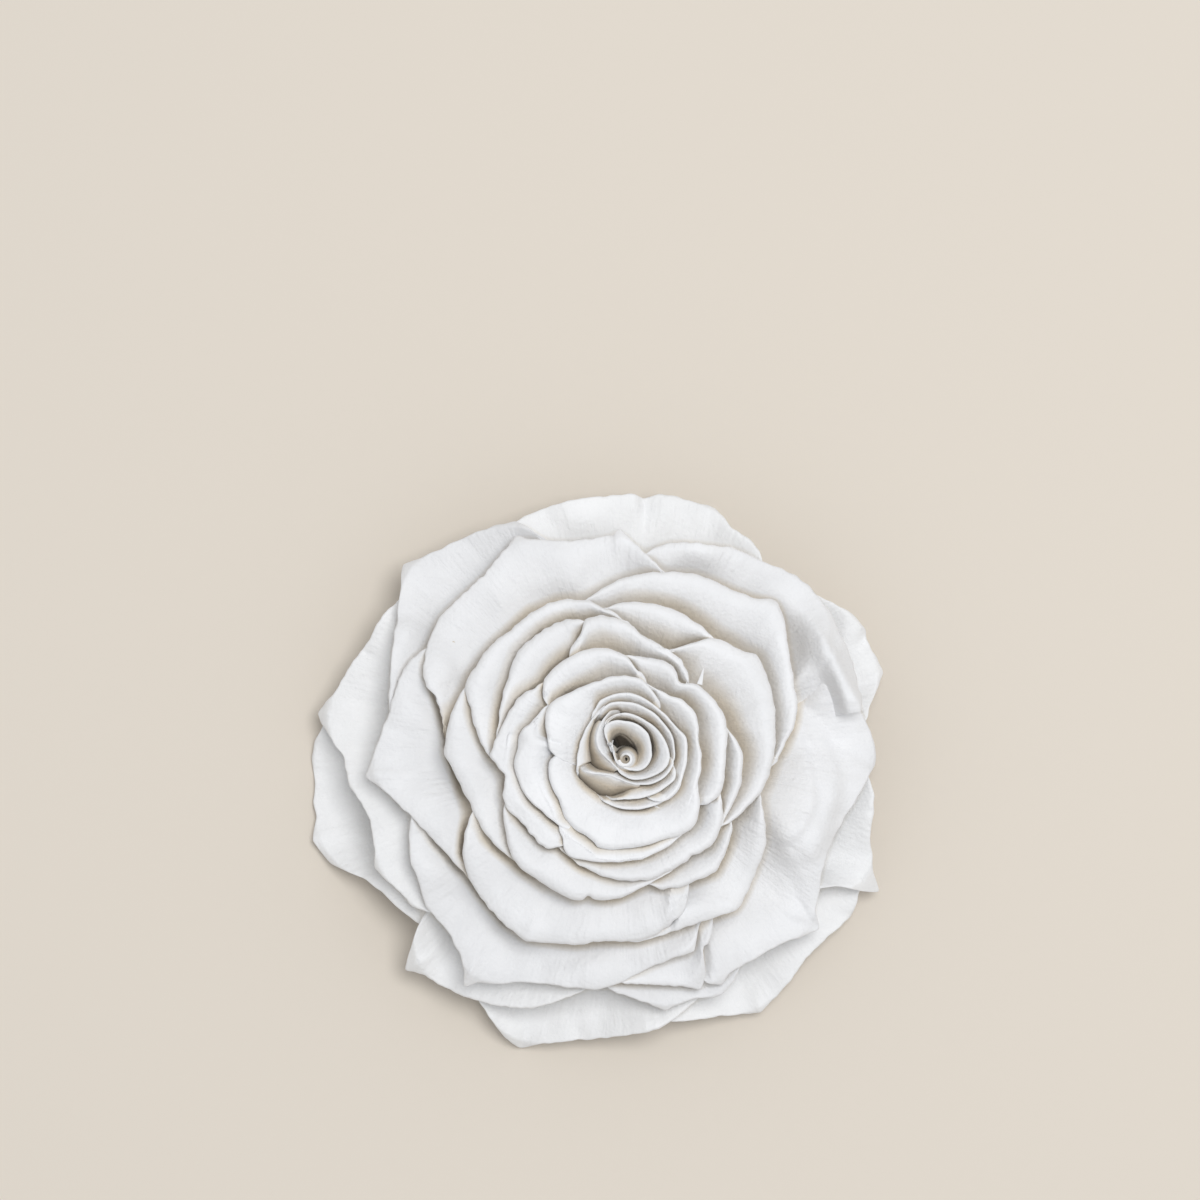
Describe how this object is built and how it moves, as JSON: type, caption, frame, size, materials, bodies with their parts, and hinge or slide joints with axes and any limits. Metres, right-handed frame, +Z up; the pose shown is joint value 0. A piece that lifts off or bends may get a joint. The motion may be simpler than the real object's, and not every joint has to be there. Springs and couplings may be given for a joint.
{
  "type": "preserved rose head",
  "caption": "Fully open white rose head with layered velvety petals, cut just below its hip and laid face up to decorate a table, box or dome.",
  "frame": {"origin": "centre of the flat cut end of the stub, on the surface that the head rests on", "axes": "+Z up along the axis of the bloom, out of its heart; +Y and +X are up and right in the picture's face-on view"},
  "size_m": [0.0887, 0.0858, 0.0441],
  "materials": {
    "petal": "matt velvet, white with a cream foot",
    "calyx": "matt dried green"
  },
  "bodies": {
    "root": {"bloom": "petal", "calyx": "calyx"}
  },
  "joints": []
}
